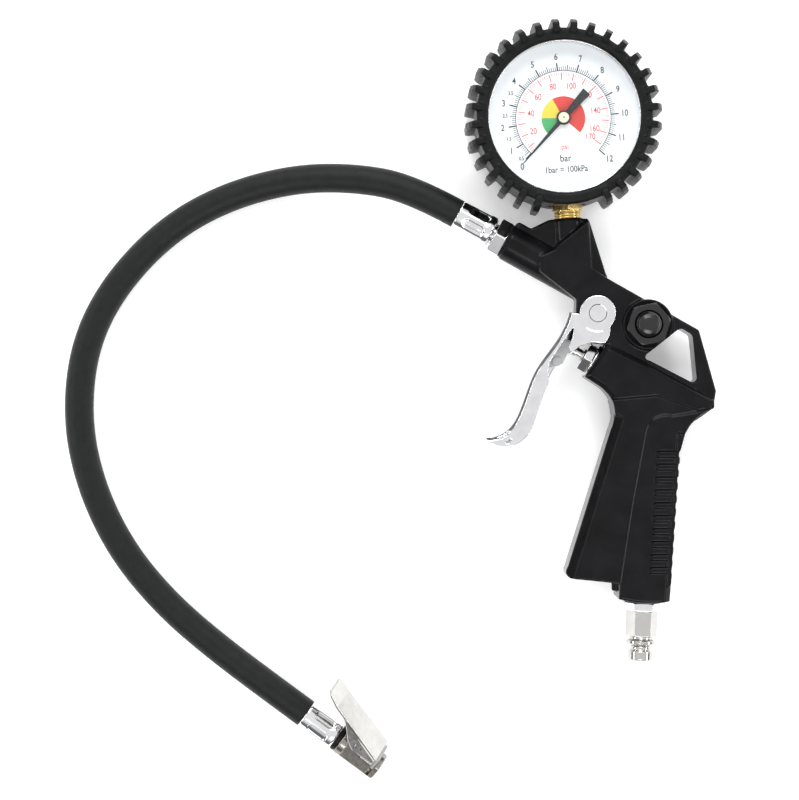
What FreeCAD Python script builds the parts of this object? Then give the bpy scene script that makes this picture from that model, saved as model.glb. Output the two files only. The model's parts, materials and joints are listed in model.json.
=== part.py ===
import FreeCAD, Part
import math
import os
from FreeCAD import Placement, Rotation, Vector

# Tyre inflator gun with a pressure gauge, a rubber hose and a clip-on valve chuck.
# It lies on its side: +Z is up, the gun's mid-plane is level, and the gauge faces up.
# The outlines below are drawn from the gun's own datum near the trigger pivot, and
# every part is moved by DATUM_TO_ORIGIN so that the origin is under the middle of
# the gun and gauge, on the surface they rest on. Millimetres and degrees throughout.

DATUM_TO_ORIGIN = Vector(5.55, 0.37, 0)
UP = Vector(0, 0, 1)

MID = 14.0                      # height of the gun's mid-plane
PLATE_HALF = 8.0                # half thickness of the flat upper body
CHAMBER_HALF = 10.5             # half thickness round the valve chamber
GRIP_HALF = 12.6                # half thickness of the grip's front part
PANEL_HALF = 13.5               # half thickness of the grip's rear panel
GRIP_BEVEL = 3.6
PANEL_BEVEL = 2.6
BARREL_R = 7.6
AIRWAY_R = 2.2

BARREL_FACE = Vector(-37.1, 39.9, MID)
BARREL_ANGLE = 151.0            # direction out of the barrel, in the mid-plane
VALVE_FACE = Vector(-2.4, -8.2, MID)
VALVE_ANGLE = -30.5             # direction into the valve bore
VALVE_BORE_R = 5.45
VALVE_BORE_DEPTH = 34.0
DUMP_CENTRE = Vector(18.6, 6.4, 0)
PIVOT = Vector(-1.4, 10.8, 0)
PIVOT_R = 2.0
RUNNING_GAP = 0.05
INLET_FACE = Vector(17.2, -103.6, MID)
INLET_ANGLE = -92.4             # direction out of the inlet
GAUGE_LEAN = 3.2                # the gauge and its boss lean anticlockwise
GAUGE_CENTRE = Vector(-15.0, 88.2, 0)
STEM_LENGTH = 39.45             # from the gauge's centre down to the boss's top

EAR_INNER = 8.35                # trigger ears, from the mid-plane
EAR_OUTER = 9.55

CASE_BACK = 3.0
CASE_FRONT = 26.4
CASE_R = 31.5
CASE_WALL = 0.8
DIAL_Z = 22.0
DIAL_R = 30.2
GLASS_Z = 27.0
GLASS_T = 1.6
BOOT_LUGS = 32
BOOT_LUG_STEP = 360.0 / BOOT_LUGS
BOOT_LUG_R = 39.0

PINION_R = 1.2                  # pitch radii of the movement's gears
SECTOR_R = 12.0
PINION_TEETH = 10
SECTOR_TEETH_FULL = 100
SECTOR_Y = -(PINION_R + SECTOR_R)
TAIL_R = 9.0
TAIL_ANGLE = -13.5
TIP_PIN = Vector(18.2, -5.0, 0)
TUBE_R = 22.0

HOSE_OD = 11.6
HOSE_ID = 6.4
HOSE_STUB = 14.0                # length of hose held in each ferrule
HOSE_STUB_R = 5.5               # hose squeezed by the crimp
FERRULE_R = 6.1
DENT_R = 5.72                   # floor of the ferrules' pressed dents
DENT_TURN = 20.0
CHUCK_ANGLE = -36.3
CHUCK_ROLL = 40.0
CHUCK_R = 5.75
CHUCK_FLAT = 4.8
CHUCK_MOUTH_R = 3.95            # clears the 7.7 mm thread of a tyre valve
CHUCK_POCKET_R = 4.3
CHUCK_TIP = 36.8
CHUCK_JAW_SLOT = (33.3, 34.7)
CLIP_PIVOT_V = 7.3
CLIP_PIVOT_S = 24.5

# The free hose's route. The same points, in metres, shape the finished hose.
HOSE_ROUTE = [
    (-56.7, 50.8, 14.0),
    (-75.592, 61.272, 14.0),
    (-99.6, 65.7, 12.0),
    (-125.2, 65.0, 9.2),
    (-153.0, 57.0, 6.9),
    (-176.2, 42.9, 6.0),
    (-196.3, 20.7, 5.9),
    (-207.4, -3.0, 5.9),
    (-210.0, -32.0, 5.9),
    (-204.2, -59.1, 5.9),
    (-191.8, -84.5, 5.9),
    (-173.9, -105.9, 5.9),
    (-153.5, -123.4, 5.9),
    (-130.695, -140.328, 6.6),
    (-117.8, -149.8, 6.6),
]


# ---- drawing helpers -------------------------------------------------------

def direction(angle):
    return Vector(math.cos(math.radians(angle)), math.sin(math.radians(angle)), 0)


def frame_at(origin, z_axis, x_axis):
    """Placement whose own Z runs along z_axis and own X along x_axis."""
    return Placement(origin, Rotation(x_axis, z_axis.cross(x_axis), z_axis, "ZXY"))


def placed(shape, placement):
    moved = shape.copy()
    moved.Placement = placement.multiply(moved.Placement)
    return moved


def block(x_low, x_high, y_low, y_high, z_low, z_high):
    size = (x_high - x_low, y_high - y_low, z_high - z_low)
    return Part.makeBox(size[0], size[1], size[2], Vector(x_low, y_low, z_low))


def rod(radius, z_low, z_high, x=0.0, y=0.0):
    return Part.makeCylinder(radius, z_high - z_low, Vector(x, y, z_low), UP)


def ring(r_in, r_out, z_low, z_high, x=0.0, y=0.0):
    return rod(r_out, z_low, z_high, x, y).cut(rod(r_in, z_low - 1, z_high + 1, x, y))


def bar(radius, start, end):
    along = end.sub(start)
    return Part.makeCylinder(radius, along.Length, start, along)


def prism(points, z_low, z_high):
    corners = [Vector(x, y, z_low) for x, y in points]
    face = Part.Face(Part.makePolygon(corners + corners[:1]))
    return face.extrude(Vector(0, 0, z_high - z_low))


def outline(start, steps, z_low, z_high):
    """Prism on an outline. A step is a corner, or a pair (arc's middle, arc's end)."""
    here = Vector(start[0], start[1], z_low)
    edges = []
    for step in steps:
        if isinstance(step[0], tuple):
            middle = Vector(step[0][0], step[0][1], z_low)
            there = Vector(step[1][0], step[1][1], z_low)
            edges.append(Part.Arc(here, middle, there).toShape())
        else:
            there = Vector(step[0], step[1], z_low)
            edges.append(Part.LineSegment(here, there).toShape())
        here = there
    return Part.Face(Part.Wire(edges)).extrude(Vector(0, 0, z_high - z_low))


def hexagon(across_flats, z_low, z_high, turn=0.0):
    radius = across_flats / math.sqrt(3)
    angles = [math.radians(60 * i + turn) for i in range(6)]
    return prism([(radius * math.cos(a), radius * math.sin(a)) for a in angles], z_low, z_high)


def nut_hexagon(across_flats, z_low, z_high, turn=0.0, ease=0.6):
    """Hexagon with its corners turned down at both ends, as a real nut's are."""
    corner = across_flats / math.sqrt(3)
    cone = turned([(0, z_low), (corner - ease, z_low), (corner + 0.01, z_low + ease * 0.6),
                   (corner + 0.01, z_high - ease * 0.6), (corner - ease, z_high), (0, z_high)])
    return hexagon(across_flats, z_low, z_high, turn).common(cone)


def turned(profile):
    """Solid of revolution about Z from (radius, z) corners."""
    corners = [Vector(r, 0, z) for r, z in profile]
    face = Part.Face(Part.makePolygon(corners + corners[:1]))
    return face.revolve(Vector(0, 0, 0), UP, 360)


def rounded_bar(radius, x_low, x_high, y, z_low, z_high):
    """Stadium-shaped prism lying along X."""
    middle = block(x_low, x_high, y - radius, y + radius, z_low, z_high)
    return middle.fuse([rod(radius, z_low, z_high, x_low, y), rod(radius, z_low, z_high, x_high, y)])


def level_edges(shape, *levels):
    """Edges of a prism that lie flat at the given heights."""
    found = []
    for edge in shape.Edges:
        heights = [vertex.Point.z for vertex in edge.Vertexes]
        if any(all(abs(h - level) < 1e-6 for h in heights) for level in levels):
            found.append(edge)
    return found


def bevelled(shape, size, *levels):
    return shape.makeChamfer(size, level_edges(shape, *levels))


def wedge(start, end, size, height, inward):
    """Cutter that takes a flat bevel off a straight edge at the given height."""
    along = Vector(end[0] - start[0], end[1] - start[1], 0)
    reach = size + 5
    triangle = prism([(-5, -5), (reach, -5), (-5, reach)], -3, along.Length + 3)
    return placed(triangle, frame_at(Vector(start[0], start[1], height), along.normalize(), inward))


def coil_spring(radius, wire_r, z_low, z_high, turns):
    """Compression spring about Z, with its wire's centre line on a helix."""
    rise = z_high - z_low - 2 * wire_r
    helix = Part.makeHelix(rise / turns, rise, radius)
    helix.translate(Vector(0, 0, z_low + wire_r))
    section = Part.Wire(Part.makeCircle(wire_r, Vector(radius, 0, z_low + wire_r), Vector(0, 1, 0)))
    return Part.Wire(helix.Edges).makePipeShell([section], True, True)


VALVE_FRAME = frame_at(VALVE_FACE, direction(VALVE_ANGLE), UP)
BARREL_FRAME = frame_at(BARREL_FACE, direction(BARREL_ANGLE), UP)
INLET_FRAME = frame_at(INLET_FACE, direction(INLET_ANGLE), UP)
STEM_AXIS = direction(90 + GAUGE_LEAN)
BOSS_TOP = GAUGE_CENTRE.sub(direction(90 + GAUGE_LEAN).multiply(STEM_LENGTH)).add(Vector(0, 0, MID))
STEM_FRAME = frame_at(BOSS_TOP, STEM_AXIS, UP)
GAUGE_FRAME = Placement(GAUGE_CENTRE, Rotation(UP, GAUGE_LEAN))
GUN_FERRULE_FRAME = frame_at(Vector(*HOSE_ROUTE[0]), direction(BARREL_ANGLE - 180), UP)
CHUCK_AXIS = direction(CHUCK_ANGLE)
CHUCK_SIDE = direction(CHUCK_ANGLE + 90).multiply(math.cos(math.radians(CHUCK_ROLL)))
CHUCK_V = CHUCK_SIDE.add(Vector(0, 0, math.sin(math.radians(CHUCK_ROLL))))
CHUCK_FRAME = frame_at(Vector(*HOSE_ROUTE[-1]), CHUCK_AXIS, CHUCK_V)


# ---- gun body --------------------------------------------------------------

def upper_plate():
    """Flat sided upper body, from the barrel to the rear corner of the window."""
    plate = outline((-24.2, 27.6), [
        (-9.8, 16.4), (-10.0, 11.4), (-5.0, 3.4), (1.8, -2.0), (17.4, -8.4), (45.2, -24.0),
        (45.8, -20.0), (39.0, 4.2), (3.0, 24.6), (-3.4, 28.8), (-4.6, 45.8), (-5.2, 47.8),
        (-17.0, 38.4), (-18.6, 36.4), (-25.0, 33.6), (-24.2, 27.6)],
        MID - PLATE_HALF, MID + PLATE_HALF)
    return bevelled(plate, 0.7, MID - PLATE_HALF, MID + PLATE_HALF)


def crest():
    """Thinner web between the barrel's top, the gauge boss and the rear slope."""
    web = prism([(-33.6, 46.6), (-32.2, 47.4), (-27.6, 44.8), (-20.6, 48.2), (-17.8, 48.6), (-5.0, 48.8),
                 (-4.2, 47.6), (3.0, 24.6), (-20.0, 30.0), (-36.0, 42.0)], MID - 4.0, MID + 4.0)
    return bevelled(web, 0.5, MID - 4.0, MID + 4.0)


def barrel():
    tube = turned([(0, 0), (BARREL_R - 0.6, 0), (BARREL_R, -0.6), (BARREL_R, -42), (0, -42)])
    top_rib = block(5.2, 7.4, -1.2, 1.2, -12.0, -2.0)
    side_ribs = [placed(top_rib, Placement(Vector(), Rotation(UP, turn))) for turn in (28, 152)]
    return placed(tube.fuse(side_ribs), BARREL_FRAME)


def gauge_boss():
    boss = turned([(0, 0), (6.0, 0), (6.8, -0.8), (6.8, -20), (0, -20)])
    return placed(boss, STEM_FRAME)


def valve_block():
    block_shape = outline((-6.6, -14.4), [
        (1.8, -2.0), (3.4, -1.9), (17.4, -8.8), (45.0, -23.8), (45.0, -26.6),
        (37.8, -31.6), (22.0, -40.0), (5.0, -38.0), ((4.7, -24.6), (-1.0, -18.0)), (-6.6, -14.4)],
        MID - CHAMBER_HALF, MID + CHAMBER_HALF)
    shape = bevelled(block_shape, 1.8, MID - CHAMBER_HALF, MID + CHAMBER_HALF)
    nose = turned([(0, 0), (6.9, 0), (7.5, 0.6), (7.5, 12), (0, 12)])
    return shape.fuse(placed(nose, VALVE_FRAME))


def grip_front():
    grip = outline((22.0, -22.0), [
        (4.0, -23.6), ((5.1, -29.0), (3.6, -35.6)), (-13.4, -90.0), ((-13.9, -92.7), (-11.0, -94.4)),
        (4.6, -96.0), (27.4, -97.0), (30.8, -45.0), (34.0, -33.0), (40.0, -28.4), (22.0, -22.0)],
        MID - GRIP_HALF, MID + GRIP_HALF)
    inward = Vector(54.4, -17.0, 0).normalize()
    top, foot = (4.6, -32.4), (-14.0, -91.9)
    bevels = [wedge(top, foot, GRIP_BEVEL, MID - GRIP_HALF, inward),
              wedge(foot, top, GRIP_BEVEL, MID + GRIP_HALF, inward)]
    return grip.cut(bevels)


def grip_panel():
    panel = outline((45.0, -26.8), [
        (27.6, -29.6), ((19.4, -31.6), (17.0, -36.4)), (11.9, -63.6), (7.0, -95.6), (6.6, -102.4),
        ((17.0, -104.0), (27.0, -103.4)), (27.8, -92.0), (31.4, -43.2), ((34.6, -34.2), (45.0, -26.8))],
        MID - PANEL_HALF, MID + PANEL_HALF)
    panel = bevelled(panel, 0.8, MID - PANEL_HALF, MID + PANEL_HALF)
    inward = Vector(-48.8, 3.6, 0).normalize()
    top, foot = (31.7, -39.6), (27.0, -103.6)
    bevels = [wedge(foot, top, PANEL_BEVEL, MID - PANEL_HALF, inward),
              wedge(top, foot, PANEL_BEVEL, MID + PANEL_HALF, inward)]
    return panel.cut(bevels)


def rib_grooves():
    """Ten round-ended finger grooves that wrap round the back of the grip."""
    core = prism([(10.0, -40.0), (30.9, -40.0), (27.3, -96.0), (10.0, -96.0)],
                 MID - PANEL_HALF + 1.1, MID + PANEL_HALF - 1.1)
    grooves = []
    for i in range(10):
        y = -45.0 - 5.1 * i
        left = 22.6 - 0.32 * i
        slot = rounded_bar(1.3, left, 40.0, y, MID - 20, MID + 20)
        grooves.append(slot.cut(core))
    return grooves


def window():
    """Rounded three-sided opening behind the deflation valve."""
    return outline((19.2, -7.8), [
        (35.0, -16.0), ((37.2, -16.2), (37.9, -13.9)), (36.4, 1.4), ((35.9, 2.4), (35.0, 3.0)),
        (33.0, 4.2), ((31.6, 4.6), (30.2, 4.0)), (18.0, -5.6), ((17.7, -6.9), (19.2, -7.8))],
        MID - 20, MID + 20)


def airways():
    """Bores and threaded holes that carry the air from the inlet to the hose."""
    valve = placed(rod(VALVE_BORE_R, -1, VALVE_BORE_DEPTH), VALVE_FRAME)
    outlet = placed(rod(5.25, -9.5, 1).fuse(rod(AIRWAY_R, -66, 1)), BARREL_FRAME)
    gauge_port = placed(rod(4.85, -9.5, 1).fuse(rod(1.5, -24, 1)), STEM_FRAME)
    inlet = placed(rod(5.65, -11.5, 1), INLET_FRAME)
    spot_faces = [placed(rod(7.8, 0, 2), BARREL_FRAME), placed(rod(7.6, 0, 3), INLET_FRAME),
                  placed(rod(7.0, -6, 0), VALVE_FRAME)]
    grip_bore = bar(3.0, Vector(17.7, -92.0, MID), Vector(21.6, -24.0, MID))
    link = bar(AIRWAY_R, Vector(7.5, -14.0, MID), Vector(18.6, 6.4, MID))
    dump = rod(5.0, 8.0, MID + 20, DUMP_CENTRE.x, DUMP_CENTRE.y)
    dump_thread = rod(6.05, 16.0, MID + 20, DUMP_CENTRE.x, DUMP_CENTRE.y)
    dump_seat = rod(9.2, MID + PLATE_HALF + 0.8, MID + 20, DUMP_CENTRE.x, DUMP_CENTRE.y)
    pivot = rod(PIVOT_R, -1, MID + 20, PIVOT.x, PIVOT.y)
    return spot_faces + [
        valve, outlet, gauge_port, inlet, grip_bore, link, dump, dump_thread, dump_seat, pivot]


def gun_body():
    dump_boss = rod(10.0, MID - PLATE_HALF, MID + PLATE_HALF + 1.4, DUMP_CENTRE.x, DUMP_CENTRE.y)
    peg = rod(1.3, 0, 4.4, 0, 0)
    peg_frame = frame_at(Vector(6.0, -95.5, MID), Vector(0, -1, 0), UP)
    solid = upper_plate().fuse([
        crest(), barrel(), gauge_boss(), valve_block(), grip_front(), grip_panel(),
        dump_boss, placed(peg, peg_frame)])
    hollows = airways() + rib_grooves() + [window()]
    return solid.cut(hollows).removeSplitter()


# ---- inlet -----------------------------------------------------------------

def inlet_parts():
    seal = ring(5.7, 7.2, 0.0, 0.9)
    bushing_shell = rod(5.6, -11.0, 0.9).fuse(nut_hexagon(12.9, 0.9, 4.2, 30))
    bushing = bushing_shell.cut(rod(4.0, -12.0, 5.0))
    spigot = turned([(2.6, -4.5), (3.95, -4.5), (3.95, 4.2), (2.6, 4.2)])
    hex_body = nut_hexagon(11.0, 4.2, 14.4, 30).cut(rod(2.6, 3.0, 16.0))
    tail = turned([
        (2.6, 14.4), (4.6, 14.4), (4.6, 15.4), (5.4, 15.8), (6.0, 16.2), (6.0, 17.2),
        (5.0, 18.0), (4.2, 18.4), (4.2, 19.6), (5.0, 20.4), (5.0, 23.6), (4.4, 24.2),
        (3.6, 24.2), (3.6, 16.0), (2.6, 15.0)])
    plug = spigot.fuse([hex_body, tail])
    filter_cup = turned([(1.4, -10.4), (3.9, -5.6), (3.9, -4.6), (3.3, -4.6), (3.3, -5.4), (1.2, -9.6),
                         (0, -9.6), (0, -10.4)])
    return {
        "inlet_seal": placed(seal, INLET_FRAME),
        "inlet_bushing": placed(bushing, INLET_FRAME),
        "inlet_plug": placed(plug, INLET_FRAME),
        "inlet_filter": placed(filter_cup, INLET_FRAME),
    }


# ---- trigger valve ---------------------------------------------------------

STEM_R = 1.75
STEM_TIP = -9.05
POPPET_S = 20.6


def valve_parts():
    flange = turned([(0, -1.1), (6.5, -1.1), (6.9, -0.7), (6.9, -0.05), (5.0, -0.05), (5.0, 0.1), (0, 0.1)])
    nut = rod(5.4, 0.0, 8.0).fuse([flange, nut_hexagon(11.0, -4.6, -1.1, 8), rod(2.7, -5.3, -4.6)])
    nut = nut.cut([rod(STEM_R + 0.08, -7.0, 9.0), rod(3.3, 2.0, 3.8)])
    stem = rod(STEM_R, STEM_TIP, POPPET_S).fuse(rod(2.3, STEM_TIP, STEM_TIP + 1.2))
    poppet = turned([(0, POPPET_S), (4.4, POPPET_S), (4.4, POPPET_S + 1.6), (2.2, POPPET_S + 1.6),
                     (2.2, POPPET_S + 4.0), (0, POPPET_S + 4.0)])
    parts = {
        "valve_gland_nut": nut,
        "valve_gland_seal": ring(STEM_R + 0.03, 3.2, 2.1, 3.7),
        "valve_seat": ring(2.8, 5.4, 15.0, 19.0),
        "valve_stem": stem,
        "valve_poppet": poppet,
        "valve_poppet_seal": ring(STEM_R, 4.1, 19.1, POPPET_S),
        "valve_spring": coil_spring(3.2, 0.4, POPPET_S + 1.7, VALVE_BORE_DEPTH - 0.05, 6),
    }
    return {name: placed(shape, VALVE_FRAME) for name, shape in parts.items()}


# ---- deflation valve -------------------------------------------------------

def deflate_parts():
    top = MID + PLATE_HALF + 0.8
    nut = rod(6.0, 16.0, top).fuse(nut_hexagon(15.6, top, top + 3.4, 12, 0.8))
    nut = nut.cut([rod(2.4, 15.0, 30.0), rod(5.55, 18.0, 30.0)])
    button = turned([(0, 20.6), (5.25, 20.6), (5.25, 26.2), (4.9, 27.3), (4.0, 28.2), (2.6, 28.8),
                     (0, 29.0)]).cut(rod(1.5, 20.0, 24.0))
    stem = rod(1.5, 13.2, 24.0).fuse(rod(4.4, 13.2, 14.6))
    parts = {
        "deflate_nut": nut,
        "deflate_button": button,
        "deflate_stem": stem,
        "deflate_seal": ring(1.5, 4.2, 14.6, 15.9),
        "deflate_spring": coil_spring(2.9, 0.35, 8.02, 13.15, 5),
    }
    shift = Placement(DUMP_CENTRE, Rotation())
    return {name: placed(shape, shift) for name, shape in parts.items()}


# ---- trigger ---------------------------------------------------------------

def trigger_outline(z_low, z_high):
    """Side outline of the stamped lever: ears, finger edge and upturned tip."""
    front = Part.BSplineCurve()
    front.interpolate([Vector(x, y, z_low) for x, y in (
        (-12.9, 11.2), (-19.0, -1.6), (-26.0, -11.4), (-31.4, -24.8), (-36.2, -34.2), (-46.0, -38.4))])
    rear = Part.BSplineCurve()
    rear.interpolate([Vector(x, y, z_low) for x, y in (
        (-45.2, -39.8), (-37.4, -42.4), (-30.0, -38.6), (-24.0, -25.2), (-19.8, -14.8), (-13.4, -5.0))])
    tail = [(-13.4, -5.0), (-11.8, -5.2), (-8.6, -2.4), (-3.8, -0.8), (1.4, -1.2), (3.4, 2.0), (3.8, 5.8)]
    corners = [Vector(x, y, z_low) for x, y in tail]
    tip = Part.LineSegment(Vector(-46.0, -38.4, z_low), Vector(-45.2, -39.8, z_low))
    edges = [front.toShape(), tip.toShape(), rear.toShape()]
    edges += [Part.LineSegment(a, b).toShape() for a, b in zip(corners, corners[1:])]
    crown = Vector(PIVOT.x, PIVOT.y + 7.2, z_low)
    shoulder = [Vector(-8.2, 13.1, z_low), Vector(-8.6, 10.6, z_low), Vector(-12.9, 11.2, z_low)]
    edges.append(Part.Arc(corners[-1], crown, shoulder[0]).toShape())
    edges += [Part.LineSegment(a, b).toShape() for a, b in zip(shoulder, shoulder[1:])]
    return Part.Face(Part.Wire(edges)).extrude(Vector(0, 0, z_high - z_low))


def trigger_lever():
    """Folded sheet: a finger wall and two ears, the upper one with a notch and a drawn tip."""
    low = MID - EAR_OUTER
    high = MID + EAR_OUTER
    shell = trigger_outline(low, high)
    finger_edges = [edge for edge in level_edges(shell, low, high) if edge.Length > 57]
    shell = shell.makeChamfer(1.5, finger_edges)
    pocket = trigger_outline(MID - EAR_INNER, MID + EAR_INNER)
    pocket.translate(Vector(1.1, -1.1, 0))
    clear = block(-10.8, 12.0, -12.0, 26.0, MID - EAR_INNER, MID + EAR_INNER)
    hole = rod(PIVOT_R + RUNNING_GAP, 0, 30, PIVOT.x, PIVOT.y)
    notch = prism([(-10.6, 6.0), (-14.6, 0.4), (-18.6, -5.6), (-20.5, -8.8), (-21.0, -12.4), (-20.2, -18.0),
                   (-11.5, -9.0), (-11.5, -5.6), (-12.8, -2.6), (-11.4, 1.6)], MID + 8.0, high + 1)
    upper = [(-35.4, -34.6), (-38.4, -37.6), (-42.6, -39.4), (-39.4, -38.9), (-36.8, -37.2)]
    lower = [(-34.2, -38.0), (-37.0, -39.8), (-40.0, -40.6), (-36.6, -40.8)]
    creases = [prism(points, MID + 8.0, high + 1) for points in (upper, lower)]
    disc = rod(7.15, high - 0.5, high + 0.3, PIVOT.x, PIVOT.y)
    return shell.cut([pocket, clear, notch] + creases).fuse(disc).cut(hole)


def trigger_parts():
    lever = trigger_lever()
    nose = rod(2.5, MID - 3.5, MID + 3.5, -12.48, -2.26)
    arm = prism([(-16.6, 2.0), (-12.6, 0.2), (-12.9, -4.8), (-14.8, -8.8), (-17.6, -10.2), (-24.4, -10.0),
                 (-19.6, -3.0)], MID - 3.5, MID + 3.5)
    foot = rod(1.8, MID - 3.5, MID + 3.9, -17.2, -8.2)
    pad = nose.fuse([arm, foot]).cut(lever)
    pin = rod(PIVOT_R, MID - 11.0, MID + EAR_OUTER + 0.35, PIVOT.x, PIVOT.y)
    head = turned([(0, 0), (3.6, 0), (3.6, 0.4), (3.3, 0.7), (0, 0.7)])
    head.translate(Vector(PIVOT.x, PIVOT.y, MID + EAR_OUTER + 0.35))
    clip = ring(PIVOT_R, 3.4, MID - 10.6, MID - EAR_OUTER - 0.1, PIVOT.x, PIVOT.y)
    return {
        "trigger_lever": lever,
        "trigger_push_pad": pad,
        "trigger_pivot_pin": pin.fuse(head),
        "trigger_pin_clip": clip,
    }


# ---- gauge -----------------------------------------------------------------

def gauge_shell_parts():
    stem_hole = bar(5.1, Vector(0, -28, MID), Vector(0, -36, MID))
    screws = [case_screw(x) for x in (-3.6, 3.6)]
    case = turned([
        (0, CASE_BACK), (CASE_R - 1.2, CASE_BACK), (CASE_R, CASE_BACK + 1.2), (CASE_R, CASE_FRONT),
        (CASE_R - CASE_WALL, CASE_FRONT), (CASE_R - CASE_WALL, DIAL_Z - 0.05),
        (CASE_R - CASE_WALL - 1.3, DIAL_Z - 0.05), (CASE_R - CASE_WALL - 1.3, DIAL_Z - 1.0),
        (CASE_R - CASE_WALL, DIAL_Z - 1.6), (CASE_R - CASE_WALL, CASE_BACK + CASE_WALL),
        (0, CASE_BACK + CASE_WALL)])
    case = case.cut([stem_hole, rod(4.0, 0, 6, 0, 6.0)] + screws)
    bezel = turned([
        (31.6, 23.0), (32.3, 23.0), (32.3, 28.6), (31.7, 29.3), (29.7, 29.3), (29.7, 28.7), (31.6, 28.7)])
    blowout = rod(4.0, CASE_BACK, CASE_BACK + CASE_WALL, 0, 6.0)
    blowout_head = turned([(0, 2.0), (4.6, 2.0), (5.0, 2.4), (5.0, CASE_BACK), (0, CASE_BACK)])
    blowout_head.translate(Vector(0, 6.0, 0))
    return {
        "gauge_case": case,
        "gauge_bezel": bezel,
        "gauge_lens": rod(31.4, GLASS_Z, GLASS_Z + GLASS_T),
        "lens_gasket": ring(30.8, 31.4, CASE_FRONT, GLASS_Z),
        "dial_spacer": ring(29.9, 30.6, DIAL_Z + 0.5, GLASS_Z),
        "blowout_plug": blowout.fuse(blowout_head),
        "case_screws": Part.makeCompound(screws),
    }


def case_screw(x):
    head = turned([(0, CASE_BACK), (2.4, CASE_BACK), (1.2, CASE_BACK + CASE_WALL), (1.2, 8.0), (0, 8.0)])
    head.translate(Vector(x, -27.4, 0))
    return head


def gauge_boot():
    shell = turned([
        (14.0, 0), (33.4, 0), (34.8, 1.4), (34.8, 31.0), (33.8, 32.0), (31.2, 32.0), (30.0, 31.2),
        (30.0, 29.4), (32.4, 29.4), (32.4, 2.9), (14.0, 2.9)])
    lug_profile = [
        (33.6, 2.0), (37.6, 2.0), (BOOT_LUG_R, 5.0), (BOOT_LUG_R, 26.0), (37.9, 30.6), (36.6, 33.4),
        (33.4, 33.4), (32.2, 32.4), (32.2, 30.4), (33.6, 29.0)]
    corners = [Vector(r, -1.4, z) for r, z in lug_profile]
    lug = Part.Face(Part.makePolygon(corners + corners[:1])).extrude(Vector(0, 2.8, 0))
    lugs = []
    for i in range(BOOT_LUGS):
        clockwise = (i + 0.5) * BOOT_LUG_STEP
        if 160 < clockwise < 190:
            continue
        lugs.append(lug.rotated(Vector(), UP, 90 - clockwise - GAUGE_LEAN))
    stem_slot = bar(7.4, Vector(0, -30, MID), Vector(0, -42, MID))
    return shell.fuse(lugs).cut(stem_slot)


def gauge_socket():
    """Brass stem with its thread, wrench flats and the block that carries the movement."""
    thread = [(0, -9.0), (4.8, -9.0), (4.8, 0)]
    for i in range(3):
        thread += [(5.35, 0.25 + i), (5.35, 0.55 + i), (4.95, 0.85 + i), (4.95, 0.95 + i)]
    stem = turned(thread + [(5.0, 3.2), (5.0, 9.8), (0, 9.8)])
    wrench = nut_hexagon(11.8, 3.2, 7.6, 0)
    stem = placed(stem.fuse(wrench), STEM_FRAME)
    foot = block(-6.0, 6.0, -29.9, -24.0, CASE_BACK + CASE_WALL, 19.0)
    head = block(-6.0, 6.0, -24.0, -17.4, 9.1, 19.0)
    body = placed(foot.fuse(head), GAUGE_FRAME).fuse(stem)
    duct = placed(rod(1.5, -10, 19), STEM_FRAME)
    cross_duct = placed(bar(1.0, Vector(0, -21.6, MID), Vector(-8, -21.6, MID)), GAUGE_FRAME)
    screws = [placed(case_screw(x), GAUGE_FRAME) for x in (-3.6, 3.6)]
    tube_seat = placed(tube_envelope(0.0), GAUGE_FRAME)
    return body.cut([duct, cross_duct, tube_seat] + screws)


TUBE_START = 3.5                # the tube runs from its tip round to the socket
TUBE_SWEEP = 252.0


def tube_envelope(grow):
    corners = [(TUBE_R - 1.1 - grow, 10.0 - grow), (TUBE_R + 1.1 + grow, 10.0 - grow),
               (TUBE_R + 1.1 + grow, 18.0 + grow), (TUBE_R - 1.1 - grow, 18.0 + grow)]
    points = [Vector(r, 0, z) for r, z in corners]
    face = Part.Face(Part.makePolygon(points + points[:1]))
    return face.revolve(Vector(), UP, TUBE_SWEEP).rotated(Vector(), UP, TUBE_START)


def pressure_tube_parts():
    """Flattened C-shaped tube and the brass cap that closes its free end."""
    tube = tube_envelope(0.0).cut(tube_envelope(-0.35))
    corners = [Vector(r, 0, z) for r, z in ((20.2, 9.4), (23.8, 9.4), (23.8, 18.6), (20.2, 18.6))]
    cap = Part.Face(Part.makePolygon(corners + corners[:1])).revolve(Vector(), UP, 12.0)
    cap = cap.rotated(Vector(), UP, -4.0).cut(tube_envelope(0.0))
    lug = block(16.2, 21.0, -7.4, 1.6, 13.4, 14.4)
    slot = block(TIP_PIN.x - 0.9, TIP_PIN.x + 0.9, -6.4, 0.6, 12.0, 16.0)
    return {"bourdon_tube": tube, "tube_tip": cap.fuse(lug).cut([slot, tube_envelope(0.0)])}


def gear_outline(root, tip, centre_angles, half_root, half_tip, first, last, close_to_centre):
    """Corner points of a toothed arc; half widths are angles at root and tip."""
    points = []
    if close_to_centre:
        points.append((0.0, 0.0))
    if first is not None:
        points.append((root, first))
    for angle in centre_angles:
        points += [(root, angle - half_root), (tip, angle - half_tip), (tip, angle + half_tip),
                   (root, angle + half_root)]
    if last is not None:
        points.append((root, last))
    return [(r * math.cos(math.radians(a)), r * math.sin(math.radians(a))) for r, a in points]


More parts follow.
